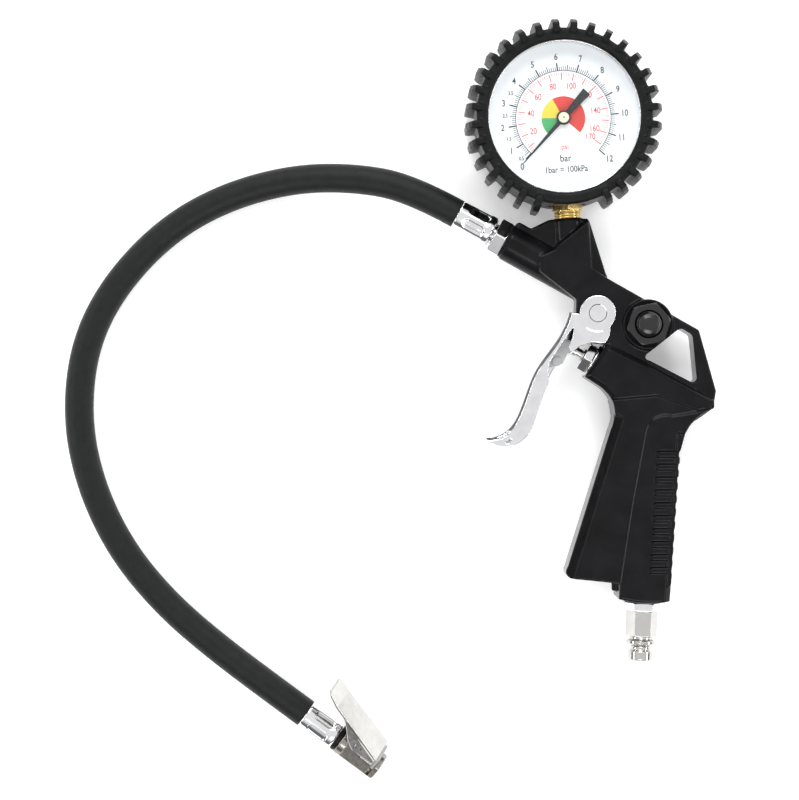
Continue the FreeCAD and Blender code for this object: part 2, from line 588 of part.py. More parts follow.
def movement_parts():
    pitch = 360.0 / SECTOR_TEETH_FULL
    teeth = [90 + pitch * (k + 0.5) for k in range(-9, 2)]
    fan = gear_outline(SECTOR_R - 0.28, SECTOR_R + 0.24, teeth, 1.0, 0.4, teeth[0] - 2, teeth[-1] + 2, True)
    sector = prism(fan, 11.0, 11.8)
    window = ring(4.2, 9.4, 10, 13).common(prism([(0, 0), (20, 32), (0, 30)], 10, 13))
    tail_end = direction(TAIL_ANGLE).multiply(TAIL_R)
    tail = block(0, TAIL_R, -1.1, 1.1, 11.0, 11.8).rotated(Vector(), UP, TAIL_ANGLE)
    sector = sector.fuse([rod(2.4, 11.0, 11.8), tail, rod(1.5, 11.0, 11.8, tail_end.x, tail_end.y)])
    sector = sector.cut([window, rod(0.75, 10, 13, tail_end.x, tail_end.y), rod(0.8, 10, 13)])
    sector.translate(Vector(0, SECTOR_Y, 0))
    sector_shaft = rod(0.8, 8.3, 17.0, 0, SECTOR_Y)

    pinion_angles = [270 + 36.0 * k for k in range(PINION_TEETH)]
    pinion = prism(gear_outline(PINION_R - 0.28, PINION_R + 0.24, pinion_angles, 11, 4, None, None, False),
                   10.4, 12.4)
    pinion_shaft = rod(0.6, 8.4, 24.9).fuse(pinion)

    tail_pin = Vector(tail_end.x, tail_end.y + SECTOR_Y, 0)
    along = TIP_PIN.sub(tail_pin)
    lean = math.degrees(math.atan2(along.y, along.x))
    strap = block(0, along.Length, -1.0, 1.0, 12.1, 12.8).rotated(Vector(), UP, lean).translated(tail_pin)
    link = strap.fuse([
        rod(1.4, 12.1, 12.8, tail_pin.x, tail_pin.y), rod(1.2, 12.1, 12.8, TIP_PIN.x, TIP_PIN.y),
        rod(0.7, 10.9, 12.4, tail_pin.x, tail_pin.y), rod(0.6, 12.4, 15.0, TIP_PIN.x, TIP_PIN.y)])

    plate = [(-13.0, -16.0), (-6.0, -17.2), (6.0, -17.2), (9.0, -16.0), (13.0, 1.0), (13.0, 5.0),
             (-13.0, 5.0)]
    back_plate = prism([(-13.0, -16.0), (-6.0, -23.8), (6.0, -23.8), (9.0, -16.0), (13.0, 1.0), (13.0, 5.0),
                        (-13.0, 5.0)], 8.1, 9.1)
    pillars = [(-11.0, -13.0), (-11.0, 3.0), (11.0, 3.0)]
    journal = [rod(0.65, 7, 18), rod(0.85, 7, 18, 0, SECTOR_Y)]
    screw_holes = [rod(0.8, 15, 18, x, y) for x, y in pillars]
    screws = [rod(0.8, 13.4, 17.2, x, y).fuse(rod(1.7, 17.2, 18.2, x, y)) for x, y in pillars]
    posts = [rod(1.5, 9.1, 16.2, x, y).cut(rod(0.8, 13.4, 17, x, y)) for x, y in pillars]
    return {
        "sector_gear": sector,
        "sector_shaft": sector_shaft,
        "pinion_shaft": pinion_shaft,
        "movement_link": link,
        "movement_back_plate": back_plate.cut(journal),
        "movement_front_plate": prism(plate, 16.2, 17.2).cut(journal + screw_holes),
        "movement_pillars": Part.makeCompound(posts),
        "movement_screws": Part.makeCompound(screws),
        "hairspring": hairspring(),
    }


def hairspring():
    """Flat spiral of half rings whose centres alternate, from the pinion outwards."""
    offset = 0.17
    half = 0.06
    radius = 1.0
    pieces = []
    for i in range(14):
        side = 1 if i % 2 == 0 else -1
        arc = ring(radius - half, radius + half, 13.4, 14.4, offset * side, 0)
        keep = block(-20, 20, 0, 20, 13, 15) if side > 0 else block(-20, 20, -20, 0, 13, 15)
        pieces.append(arc.common(keep))
        radius += 2 * offset
    return pieces[0].fuse(pieces[1:]).removeSplitter()


def dial_parts():
    dial = rod(DIAL_R, DIAL_Z, DIAL_Z + 0.45).cut(rod(1.6, 20, 25))
    needle = prism([(24.5, -0.15), (24.5, 0.15), (3.0, 0.85), (-3.0, 1.15), (-13.8, 1.8), (-13.8, -1.8),
                    (-3.0, -1.15), (3.0, -0.85)], 23.9, 24.3)
    hub = turned([(0, 23.6), (2.85, 23.6), (2.85, 24.7), (2.6, 25.0), (0, 25.0)])
    pointer = needle.fuse(hub).cut(rod(0.6, 20, 24.9)).rotated(Vector(), UP, 225.5)
    cap = turned([(0, 25.0), (2.45, 25.0), (2.4, 25.4), (1.8, 25.9), (0, 26.0)])
    return {"dial_plate": dial, "pointer": pointer, "pointer_cap": cap}


def gauge_parts():
    parts = {"gauge_boot": gauge_boot()}
    parts.update(gauge_shell_parts())
    parts.update(pressure_tube_parts())
    parts.update(movement_parts())
    parts.update(dial_parts())
    moved = {name: placed(shape, GAUGE_FRAME) for name, shape in parts.items()}
    moved["gauge_socket"] = gauge_socket()
    return moved


# ---- hose and its ferrules -------------------------------------------------

def hose_path(route):
    """Straight runs joined by tangent arcs, each as large as its two runs allow."""
    points = [Vector(*point) for point in route]
    edges = []
    radii = []
    here = points[0]
    for before, corner, after in zip(points, points[1:], points[2:]):
        into = corner.sub(before).normalize()
        out = after.sub(corner).normalize()
        turn = into.getAngle(out)
        shorter = min(corner.sub(before).Length, after.sub(corner).Length)
        radius = 0.45 * shorter / math.tan(turn / 2)
        reach = 0.45 * shorter
        first = corner.sub(Vector(into).multiply(reach))
        last = corner.add(Vector(out).multiply(reach))
        inward = Vector(out).sub(into).normalize()
        centre = corner.add(Vector(inward).multiply(radius / math.cos(turn / 2)))
        middle = centre.sub(Vector(inward).multiply(radius))
        edges.append(Part.LineSegment(here, first).toShape())
        edges.append(Part.Arc(first, middle, last).toShape())
        radii.append(radius)
        here = last
    edges.append(Part.LineSegment(here, points[-1]).toShape())
    return Part.Wire(edges), radii


def hose():
    path, radii = hose_path(HOSE_ROUTE)
    start = Vector(*HOSE_ROUTE[0])
    heading = Vector(*HOSE_ROUTE[1]).sub(start)
    outer = path.makePipeShell([Part.Wire(Part.makeCircle(HOSE_OD / 2, start, heading))], True, False)
    inner = path.makePipeShell([Part.Wire(Part.makeCircle(HOSE_ID / 2, start, heading))], True, False)
    tube = outer.cut(inner)
    stub = rod(HOSE_STUB_R, -1.0, HOSE_STUB)
    stub_bore = rod(HOSE_ID / 2 + 0.05, -0.5, HOSE_STUB + 1.0)
    ends = (GUN_FERRULE_FRAME, CHUCK_FRAME)
    held = outer.fuse([placed(stub, end) for end in ends])
    held = held.cut([inner] + [placed(stub_bore, end) for end in ends])
    expected = math.pi / 4 * (HOSE_OD ** 2 - HOSE_ID ** 2) * path.Length
    print("hose arcs, radius:", " ".join("%.0f" % radius for radius in radii))
    print("hose length %.1f, volume %.0f against %.0f" % (path.Length, tube.Volume, expected))
    return held


def crimped_ferrule(length):
    """Steel sleeve pressed onto the hose, with six long round-ended dents."""
    sleeve = turned([
        (HOSE_STUB_R, 0.1), (5.8, 0.1), (6.0, 0.6), (FERRULE_R, length - 4.2), (6.5, length - 2.4),
        (6.4, length - 1.2), (5.9, length - 0.4), (5.2, length), (HOSE_ID / 2, length),
        (HOSE_ID / 2, HOSE_STUB), (HOSE_STUB_R, HOSE_STUB)])
    dent = rounded_bar(1.9, 5.2, length - 5.2, 0, 4, 9).rotated(Vector(), Vector(0, 1, 0), -90)
    dent = dent.cut(rod(DENT_R, 0, length))
    return sleeve.cut([dent.rotated(Vector(), UP, 60.0 * i + DENT_TURN) for i in range(6)])


def outlet_parts():
    barb_end = 5.7 + 15.5
    barb = [(2.0, 5.6), (4.4, 5.6), (4.4, 6.35), (2.9, 6.4)]
    for i in range(4):
        low = 7.6 + 3.2 * i
        barb += [(2.9, low), (3.17, low + 0.6), (2.9, low + 2.8)]
    fitting = turned([(2.0, -9.0), (5.2, -9.0), (5.2, 0.6), (2.0, 0.6)])
    fitting = fitting.fuse([nut_hexagon(13.8, 0.6, 5.6, 0).cut(rod(2.0, 0, 6)),
                            turned(barb + [(2.6, barb_end), (2.0, barb_end)])])
    return {
        "hose_fitting": placed(fitting, BARREL_FRAME),
        "outlet_seal": placed(ring(5.3, 7.0, 0, 0.6), BARREL_FRAME),
        "ferrule_gun": placed(crimped_ferrule(16.0), GUN_FERRULE_FRAME),
        "ferrule_chuck": placed(crimped_ferrule(15.9), CHUCK_FRAME),
        "hose": hose(),
    }


# ---- clip-on chuck, drawn with X across the clip, Y along its pin, Z along the bore ----

def across(polygon, y_low, y_high):
    """Prism along Y from (z, x) corners: distance along the chuck, then height."""
    corners = [Vector(x, y_low, z) for z, x in polygon]
    face = Part.Face(Part.makePolygon(corners + corners[:1]))
    return face.extrude(Vector(0, y_high - y_low, 0))


def clip_pin(radius, y_low, y_high):
    start = Vector(CLIP_PIVOT_V, y_low, CLIP_PIVOT_S)
    return bar(radius, start, start.add(Vector(0, y_high - y_low, 0)))


def chuck_body():
    shell = turned([
        (0, 1.6), (2.9, 1.6), (3.15, 2.4), (3.15, 17.4), (5.1, 17.4), (CHUCK_R, 18.0),
        (CHUCK_R, CHUCK_TIP - 0.5), (CHUCK_R - 0.5, CHUCK_TIP), (0, CHUCK_TIP)])
    flats = [block(-9, 9, y, y + 5, 20.6, 40) for y in (CHUCK_FLAT, -CHUCK_FLAT - 5)]
    shell = shell.cut(flats)
    shell = shell.fuse(block(0, 9.0, -CHUCK_FLAT, CHUCK_FLAT, 20.6, 27.6))
    spring_slot = block(4.9, 10, -2.7, 2.7, 20, 28)
    mouth = rod(CHUCK_MOUTH_R, 30, 40).fuse(rod(CHUCK_POCKET_R, 25.4, CHUCK_JAW_SLOT[1]))
    duct = rod(1.7, 0, 30)
    slot = block(-3.6, 12, -8, 8, *CHUCK_JAW_SLOT)
    pin_hole = clip_pin(1.2, -9, 9)
    return shell.cut([mouth, duct, slot, pin_hole, spring_slot])


def chuck_lever():
    top = [(33.4, 8.6), (22.0, 13.7), (15.0, 16.7), (8.0, 19.8), (2.0, 23.6)]
    under = [(s - 0.5, v - 1.1) for s, v in reversed(top)]
    ribbon = across(top + under, -7, 7)
    plan = [Vector(0, w, s) for s, w in (
        (34.0, -6.2), (34.0, 6.2), (22.0, 5.95), (8.0, 5.7), (3.0, 5.2), (1.2, 3.4), (1.2, -3.4),
        (3.0, -5.2), (8.0, -5.7), (22.0, -5.95))]
    footprint = Part.Face(Part.makePolygon(plan + plan[:1])).extrude(Vector(40, 0, 0))
    plate = ribbon.common(footprint)
    cheek = [(13.0, 16.8), (33.0, 8.3), (33.0, 5.0), (29.0, 5.0), (23.0, 5.0), (19.8, 7.4), (16.4, 12.4)]
    cheeks = [across(cheek, 5.1, 5.95), across(cheek, -5.95, -5.1)]
    hole = clip_pin(1.2 + RUNNING_GAP, -9, 9)
    return plate.fuse(cheeks).cut(hole)


def clip_spring():
    """Torsion spring round the clip's pin, with a leg on the body and one on the lever."""
    coil = coil_spring(1.9, 0.3, -2.3, 2.3, 5)
    legs = [bar(0.34, Vector(1.9, -0.6, 2.0), Vector(2.0, 2.3, 2.0)),
            bar(0.34, Vector(1.9, 0.6, -2.0), Vector(2.2, -4.7, -2.0))]
    spring = coil.fuse(legs)
    pin_frame = frame_at(Vector(CLIP_PIVOT_V, 0, CLIP_PIVOT_S), Vector(0, 1, 0), Vector(0, 0, -1))
    return placed(spring, pin_frame)


def chuck_parts():
    pin = clip_pin(1.2, -6.1, 6.1).fuse([clip_pin(1.7, 6.05, 6.55), clip_pin(1.7, -6.55, -6.05)])
    notch = rod(CHUCK_POCKET_R + 0.1, 30, 40)
    jaw = block(1.5, 8.0, -4.7, 4.7, 33.45, 34.55).cut(notch)
    holes = [rod(0.75, 20, 27.0, 2.4 * math.cos(math.radians(a)), 2.4 * math.sin(math.radians(a)))
             for a in (30, 150, 270)]
    depressor = rod(CHUCK_POCKET_R - 0.1, 25.5, 26.8).fuse(rod(0.9, 26.8, 30.4)).cut(holes)
    parts = {
        "chuck_body": chuck_body(),
        "chuck_neck_ring": ring(3.2, 5.5, 16.1, 17.3),
        "chuck_lever": chuck_lever(),
        "chuck_pivot_pin": pin,
        "chuck_jaw": jaw,
        "chuck_depressor": depressor,
        "chuck_seal": ring(1.9, CHUCK_POCKET_R - 0.1, 26.9, 29.2),
        "chuck_clip_spring": clip_spring(),
    }
    return {name: placed(shape, CHUCK_FRAME) for name, shape in parts.items()}


# ---- the whole object ------------------------------------------------------

def all_parts():
    parts = {"gun_body": gun_body()}
    groups = (inlet_parts, valve_parts, deflate_parts, trigger_parts, gauge_parts, outlet_parts, chuck_parts)
    for group in groups:
        parts.update(group())
    return parts


def main():
    os.makedirs("parts", exist_ok=True)
    for name, shape in all_parts().items():
        shape.translate(DATUM_TO_ORIGIN)
        valid = "" if shape.isValid() else "NOT VALID"
        print("%-22s solids %d volume %9.1f %s" % (name, len(shape.Solids), shape.Volume, valid))
        shape.exportStep("parts/" + name + ".step")


main()
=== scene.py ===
"""Looks of a hand-held tyre inflator with a dial gauge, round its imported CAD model.

Blender's lengths are metres. Places on the gun are written in millimetres in the drawing
frame that the CAD source uses, and at() turns them into the row frame.
"""

import json
import math

import bmesh
import bpy
from mathutils import Matrix, Vector


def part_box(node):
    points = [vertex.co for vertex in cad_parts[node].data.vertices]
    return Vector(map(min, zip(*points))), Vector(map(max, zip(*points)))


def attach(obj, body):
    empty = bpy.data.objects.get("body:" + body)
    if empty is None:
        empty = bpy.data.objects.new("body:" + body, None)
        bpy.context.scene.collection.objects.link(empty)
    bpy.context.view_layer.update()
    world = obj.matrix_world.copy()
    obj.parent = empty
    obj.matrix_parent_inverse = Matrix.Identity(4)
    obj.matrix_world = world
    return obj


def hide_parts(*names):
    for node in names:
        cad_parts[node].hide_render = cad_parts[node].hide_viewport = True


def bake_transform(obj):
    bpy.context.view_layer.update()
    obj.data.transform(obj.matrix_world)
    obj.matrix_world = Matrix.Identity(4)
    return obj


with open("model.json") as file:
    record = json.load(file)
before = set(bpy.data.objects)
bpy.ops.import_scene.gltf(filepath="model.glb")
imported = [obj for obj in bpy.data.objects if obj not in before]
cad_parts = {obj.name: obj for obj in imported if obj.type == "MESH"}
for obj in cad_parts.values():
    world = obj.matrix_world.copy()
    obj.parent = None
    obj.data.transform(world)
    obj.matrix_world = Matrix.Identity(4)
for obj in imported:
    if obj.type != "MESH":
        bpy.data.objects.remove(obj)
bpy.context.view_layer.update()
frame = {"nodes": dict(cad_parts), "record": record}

MM = 0.001
DATUM_SHIFT = Vector((5.55, 0.37, 0.0))      # drawing frame to row frame, in mm
GAUGE_LEAN = math.radians(3.2)
BARREL_HEADING = -29.0                       # level directions, in degrees
CHUCK_HEADING = -36.3
CHUCK_ROLL = 40.0
HOSE_DIAMETER = 0.0116

# The hose's route: the same points as in the CAD source, in metres, in the drawing frame.
HOSE_ROUTE = [
    (-0.0567, 0.0508, 0.0140),
    (-0.075592, 0.061272, 0.0140),
    (-0.0996, 0.0657, 0.0120),
    (-0.1252, 0.0650, 0.0092),
    (-0.1530, 0.0570, 0.0069),
    (-0.1762, 0.0429, 0.0060),
    (-0.1963, 0.0207, 0.0059),
    (-0.2074, -0.0030, 0.0059),
    (-0.2100, -0.0320, 0.0059),
    (-0.2042, -0.0591, 0.0059),
    (-0.1918, -0.0845, 0.0059),
    (-0.1739, -0.1059, 0.0059),
    (-0.1535, -0.1234, 0.0059),
    (-0.130695, -0.140328, 0.0066),
    (-0.1178, -0.1498, 0.0066),
]


def at(x, y, z):
    """A point of the drawing frame, in mm, as a point of the row frame, in metres."""
    return (Vector((x, y, z)) + DATUM_SHIFT) * MM


def middle(node):
    low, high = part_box(node)
    return (low + high) / 2


def level(heading):
    """A level direction, in degrees from X towards Y."""
    turn = math.radians(heading)
    return Vector((math.cos(turn), math.sin(turn), 0.0))


# ---- mesh helpers ----------------------------------------------------------

def link(name, data):
    piece = bpy.data.objects.new(name, data)
    bpy.context.scene.collection.objects.link(piece)
    return piece


def piece_from(name, build, material, matrix=None):
    """A mesh object whose shape build(bm) makes, moved by matrix."""
    mesh = bpy.data.meshes.new(name)
    bm = bmesh.new()
    build(bm)
    if matrix is not None:
        bm.transform(matrix)
    bmesh.ops.recalc_face_normals(bm, faces=bm.faces)
    bm.to_mesh(mesh)
    bm.free()
    mesh.materials.append(material)
    return link(name, mesh)


def evaluated_mesh(piece):
    """The mesh that a piece has once its modifiers are applied or its letters are filled."""
    bpy.context.view_layer.update()
    return bpy.data.meshes.new_from_object(piece.evaluated_get(bpy.context.evaluated_depsgraph_get()))


def ring_of(radius_mm, height_mm, around):
    """Points of a level circle about Z, in metres."""
    turns = [math.tau * i / around for i in range(around)]
    return [Vector((radius_mm * math.cos(t), radius_mm * math.sin(t), height_mm)) * MM for t in turns]


# ---- material helpers ------------------------------------------------------

class Recipe:
    """A Principled material, with short calls for the nodes that these finishes share."""

    def __init__(self, name, colour, **sockets):
        self.material = bpy.data.materials.new(name)
        self.material.use_nodes = True
        self.tree = self.material.node_tree
        self.shader = self.tree.nodes["Principled BSDF"]
        self.shader.inputs["Base Color"].default_value = (*colour, 1.0)
        for socket, value in sockets.items():
            self.shader.inputs[socket.replace("_", " ")].default_value = value
        self.place = self.tree.nodes.new("ShaderNodeTexCoord").outputs["Object"]

    def node(self, kind, **settings):
        made = self.tree.nodes.new(kind)
        for key, value in settings.items():
            setattr(made, key, value)
        return made

    def join(self, output, socket):
        self.tree.links.new(output, socket)

    def noise(self, size_mm, detail=3.0, rough=0.55):
        """Noise with features of about size_mm."""
        made = self.node("ShaderNodeTexNoise")
        made.inputs["Scale"].default_value = 1.0 / (size_mm * MM)
        made.inputs["Detail"].default_value = detail
        made.inputs["Roughness"].default_value = rough
        self.join(self.place, made.inputs["Vector"])
        return made.outputs["Fac"]

    def ramp(self, value, *stops):
        """Colours or greys at places from 0 to 1 along value."""
        made = self.node("ShaderNodeValToRGB")
        elements = made.color_ramp.elements
        while len(elements) < len(stops):
            elements.new(0.5)
        for element, (place, colour) in zip(elements, stops):
            element.position = place
            element.color = (colour,) * 3 + (1.0,) if isinstance(colour, float) else (*colour, 1.0)
        self.join(value, made.inputs["Fac"])
        return made.outputs["Color"]

    def colour(self, output):
        self.join(output, self.shader.inputs["Base Color"])

    def roughness(self, value, low, high):
        """Roughness from low to high as value goes from 0.3 to 0.7."""
        made = self.node("ShaderNodeMapRange")
        made.inputs["From Min"].default_value = 0.3
        made.inputs["From Max"].default_value = 0.7
        made.inputs["To Min"].default_value = low
        made.inputs["To Max"].default_value = high
        self.join(value, made.inputs["Value"])
        self.join(made.outputs["Result"], self.shader.inputs["Roughness"])

    def bump(self, value, height_mm):
        """Adds a relief of height_mm on top of any earlier one."""
        made = self.node("ShaderNodeBump")
        made.inputs["Distance"].default_value = height_mm * MM
        earlier = self.shader.inputs["Normal"]
        if earlier.is_linked:
            self.join(earlier.links[0].from_socket, made.inputs["Normal"])
        self.join(value, made.inputs["Height"])
        self.join(made.outputs["Normal"], earlier)

    def voronoi(self, size_mm):
        made = self.node("ShaderNodeTexVoronoi")
        made.inputs["Scale"].default_value = 1.0 / (size_mm * MM)
        self.join(self.place, made.inputs["Vector"])
        return made.outputs["Distance"]


def metal(name, colour, low, high, grain_mm=0.6, relief_mm=0.004, tarnish=0.9):
    """Plated or machined metal: fine grain, cloudy polish and slightly uneven tone."""
    recipe = Recipe(name, colour, Metallic=1.0)
    cloud = recipe.noise(6.0, 4.0)
    shade = tuple(c * tarnish for c in colour)
    recipe.colour(recipe.ramp(cloud, (0.3, shade), (0.65, colour)))
    recipe.roughness(recipe.noise(2.2, 5.0, 0.6), low, high)
    recipe.bump(recipe.noise(grain_mm, 3.0), relief_mm)
    return recipe.material


def black_casting():
    """Powder-coated die casting: satin black with a faint orange peel."""
    recipe = Recipe("black_casting", (0.006, 0.006, 0.0065), Specular_IOR_Level=0.12)
    deep, dusty = (0.004, 0.004, 0.0045), (0.008, 0.008, 0.009)
    recipe.colour(recipe.ramp(recipe.noise(9.0, 5.0), (0.3, deep), (0.7, dusty)))
    recipe.roughness(recipe.noise(3.0, 4.0), 0.15, 0.24)
    recipe.bump(recipe.noise(1.4, 2.0), 0.008)
    recipe.bump(recipe.noise(0.25, 2.0), 0.002)
    return recipe.material


def rubber(name, colour, size_mm, relief_mm, low, high):
    """The recipe of moulded rubber: dull, with a dusty mottle and a fine grain."""
    recipe = Recipe(name, colour, Specular_IOR_Level=0.12)
    paler = tuple(c * 1.7 for c in colour)
    recipe.colour(recipe.ramp(recipe.noise(4.0, 6.0, 0.65), (0.32, colour), (0.72, paler)))
    recipe.roughness(recipe.noise(1.8, 4.0), low, high)
    recipe.bump(recipe.noise(size_mm, 4.0, 0.7), relief_mm)
    return recipe


def hose_rubber():
    """Hose rubber: a finer, glossier skin with a raised speckle."""
    recipe = rubber("hose_rubber", (0.005, 0.0055, 0.0055), 0.45, 0.05, 0.4, 0.56)
    recipe.shader.inputs["Specular IOR Level"].default_value = 0.2
    recipe.bump(recipe.ramp(recipe.voronoi(0.55), (0.10, 1.0), (0.42, 0.0)), 0.03)
    return recipe.material


def plastic(name, colour, low, high, relief_mm=0.006):
    """Moulded plastic with a fine spark-eroded texture."""
    recipe = Recipe(name, colour)
    paler = tuple(min(1.0, c * 1.25) for c in colour)
    recipe.colour(recipe.ramp(recipe.noise(3.0, 4.0), (0.35, colour), (0.7, paler)))
    recipe.roughness(recipe.noise(1.5, 4.0), low, high)
    recipe.bump(recipe.noise(0.3, 3.0), relief_mm)
    return recipe.material


def enamel(name, colour):
    """Dial enamel: even and satin, with a barely visible mottle."""
    recipe = Recipe(name, colour)
    shade = tuple(c * 0.97 for c in colour)
    recipe.colour(recipe.ramp(recipe.noise(7.0, 3.0), (0.35, shade), (0.65, colour)))
    recipe.roughness(recipe.noise(2.0, 3.0), 0.38, 0.5)
    recipe.bump(recipe.noise(0.5, 2.0), 0.001)
    return recipe.material


def clear_lens():
    """Clear flat lens: see-through, with a gloss that a Fresnel node adds, up to a fixed share.

    Without that limit, light that leaves the lens at a slant is mirrored back inside it.
    """
    tint, most_gloss = (0.975, 0.985, 0.985), 0.12
    recipe = Recipe("lens_clear", tint)
    clear = recipe.node("ShaderNodeBsdfTransparent")
    clear.inputs["Color"].default_value = (*tint, 1.0)
    gloss = recipe.node("ShaderNodeBsdfAnisotropic")
    gloss.inputs["Color"].default_value = (1.0, 1.0, 1.0, 1.0)
    gloss.inputs["Roughness"].default_value = 0.03
    fresnel = recipe.node("ShaderNodeFresnel")
    fresnel.inputs["IOR"].default_value = 1.3
    mixed = recipe.node("ShaderNodeMixShader")
    share = recipe.node("ShaderNodeMath", operation="MINIMUM")
    share.inputs[1].default_value = most_gloss
    recipe.join(fresnel.outputs["Fac"], share.inputs[0])
    recipe.join(share.outputs["Value"], mixed.inputs["Fac"])
    recipe.join(clear.outputs["BSDF"], mixed.inputs[1])
    recipe.join(gloss.outputs["BSDF"], mixed.inputs[2])
    recipe.join(mixed.outputs["Shader"], recipe.tree.nodes["Material Output"].inputs["Surface"])
    recipe.tree.nodes.remove(recipe.shader)
    return recipe.material


def make_finishes():
    """One material for each of the record's slots, and chuck_nickel for the chuck's duller plating."""
    return {
        "black_casting": black_casting(),
        "chrome_plate": metal("chrome_plate", (0.77, 0.77, 0.78), 0.05, 0.12),
        "nickel_plate": metal("nickel_plate", (0.56, 0.55, 0.53), 0.12, 0.24, 0.9, 0.002, 0.9),
        "chuck_nickel": metal("chuck_nickel", (0.34, 0.32, 0.29), 0.16, 0.3, 0.7, 0.006, 0.7),
        "brass": metal("brass", (0.83, 0.62, 0.25), 0.2, 0.34, 0.4, 0.006, 0.8),
        "spring_steel": metal("spring_steel", (0.6, 0.6, 0.61), 0.22, 0.34),
        "steel": metal("steel", (0.62, 0.62, 0.62), 0.28, 0.42),
        "bezel_bright": metal("bezel_bright", (0.80, 0.80, 0.80), 0.16, 0.28),
        "rubber": rubber("rubber", (0.0055, 0.0058, 0.0058), 0.5, 0.03, 0.3, 0.46).material,
        "hose_rubber": hose_rubber(),
        "seal_rubber": rubber("seal_rubber", (0.007, 0.007, 0.007), 0.4, 0.01, 0.35, 0.5).material,
        "black_plastic": plastic("black_plastic", (0.005, 0.005, 0.0055), 0.16, 0.26),
        "grey_plastic": plastic("grey_plastic", (0.36, 0.37, 0.37), 0.35, 0.5),
        "dial_white": enamel("dial_white", (0.93, 0.94, 0.97)),
        "pointer_black": plastic("pointer_black", (0.008, 0.008, 0.008), 0.35, 0.5, 0.002),
        "cap_cream": plastic("cap_cream", (0.78, 0.70, 0.52), 0.25, 0.35, 0.002),
        "lens_clear": clear_lens(),
    }


def coat(piece, finish):
    piece.data.materials.clear()
    piece.data.materials.append(FINISHES[finish])


FINISHES = make_finishes()
SLOT_OF = {part["node"]: part["material_slot"] for part in frame["record"]["subparts"]}
for cad_name, cad_node in frame["nodes"].items():
    coat(cad_node, SLOT_OF[cad_name])


# ---- eased copies of the CAD pieces ----------------------------------------

# Each skin: the CAD piece, the body it rides, the size of its grid in mm, smoothing passes.
SKINS = (
    ("gun_body", "gun", 0.42, 6),
    ("gauge_boot", "gun", 0.42, 2),
    ("trigger_lever", "trigger", 0.30, 3),
    ("trigger_push_pad", "trigger", 0.22, 2),
    ("chuck_body", "gun", 0.17, 2),
    ("chuck_lever", "clip", 0.20, 2),
    ("hose_fitting", "gun", 0.20, 2),
    ("inlet_plug", "gun", 0.18, 2),
    ("inlet_bushing", "gun", 0.18, 2),
    ("valve_gland_nut", "gun", 0.15, 2),
    ("deflate_nut", "gun", 0.20, 2),
    ("deflate_button", "deflate", 0.20, 3),
    ("gauge_bezel", "gun", 0.25, 2),
)


def eased(node, body, voxel_mm, passes):
    """A copy of a CAD piece with its sharp edges rounded, as casting and plating leave them."""
    piece = link(node + "_skin", frame["nodes"][node].data.copy())
    skin = piece.modifiers.new("skin", "REMESH")
    skin.mode = "VOXEL"
    skin.voxel_size = voxel_mm * MM
    skin.use_smooth_shade = True
    ease = piece.modifiers.new("ease", "SMOOTH")
    ease.factor = 0.5
    ease.iterations = passes
    piece.data = evaluated_mesh(piece)
    piece.modifiers.clear()
    piece.data.polygons.foreach_set("use_smooth", [True] * len(piece.data.polygons))
    coat(piece, "chuck_nickel" if node == "chuck_body" else SLOT_OF[node])
    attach(piece, body)
    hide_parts(node)


def squeezed(node):
    """A copy of a CAD spring, shown in its place instead of it."""
    piece = link(node + "_live", frame["nodes"][node].data.copy())
    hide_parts(node)
    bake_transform(piece)


def springs():
    squeezed("deflate_spring")
    # The valve spring lies from 22.3 to 33.9 mm inward from the face that the gland nut sits on.
    squeezed("valve_spring")


# ---- the dial's print ------------------------------------------------------

DIAL_CENTRE = middle("gauge_lens")
DIAL_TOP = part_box("dial_plate")[1].z
INK = 0.03 * MM
INK_LIFT = 0.005 * MM
BAR_BASE = 18.9          # radii on the dial, in mm
BAR_LABELS = 24.4
HALF_LABELS = 23.1
ZERO_LABEL = 25.3
PSI_TOP = 18.1
PSI_LABELS = 13.0
ZONES = 8.7
ZERO = -134.4            # places on the dial, in degrees clockwise from its top
FULL = 134.7
BAR_STEP = 23.1
PSI_20 = -111.0
PSI_STEP = 1.593
YELLOW_START = -87
RED_START = -27
RED_END = 134


def bar_angle(pressure):
    """The place of a pressure in bar. The first half bar is squeezed against the stop at ZERO."""
    return max(ZERO, FULL - BAR_STEP * (12 - pressure))


def psi_angle(pressure):
    return PSI_20 + PSI_STEP * (pressure - 20)


def dial_matrix():
    centre = Vector((DIAL_CENTRE.x, DIAL_CENTRE.y, DIAL_TOP + INK_LIFT))
    return Matrix.Translation(centre) @ Matrix.Rotation(GAUGE_LEAN, 4, "Z")


def polar(radius_mm, clockwise):
    turn = math.radians(clockwise)
    return Vector((radius_mm * math.sin(turn), radius_mm * math.cos(turn), 0.0)) * MM


def flat(bm, points, thickness=INK):
    """A thin level plate, from the corners of its outline."""
    face = bm.faces.new([bm.verts.new(point) for point in points])
    grown = bmesh.ops.extrude_face_region(bm, geom=[face])["geom"]
    moved = [item for item in grown if isinstance(item, bmesh.types.BMVert)]
    bmesh.ops.translate(bm, verts=moved, vec=(0, 0, thickness))


def tick(bm, clockwise, low, high, width):
    side = polar(width / 2, clockwise + 90)
    inner, outer = polar(low, clockwise), polar(high, clockwise)
    flat(bm, [inner - side, outer - side, outer + side, inner + side])


def band(bm, low, high, start, end):
    """Part of a ring, from start to end in degrees clockwise from the top."""
    steps = max(2, int(abs(end - start) / 3))
    turns = [start + (end - start) * i / steps for i in range(steps + 1)]
    outside = [polar(high, turn) for turn in turns]
    inside = [polar(low, turn) for turn in reversed(turns)] if low > 0 else [Vector()]
    flat(bm, outside + inside)


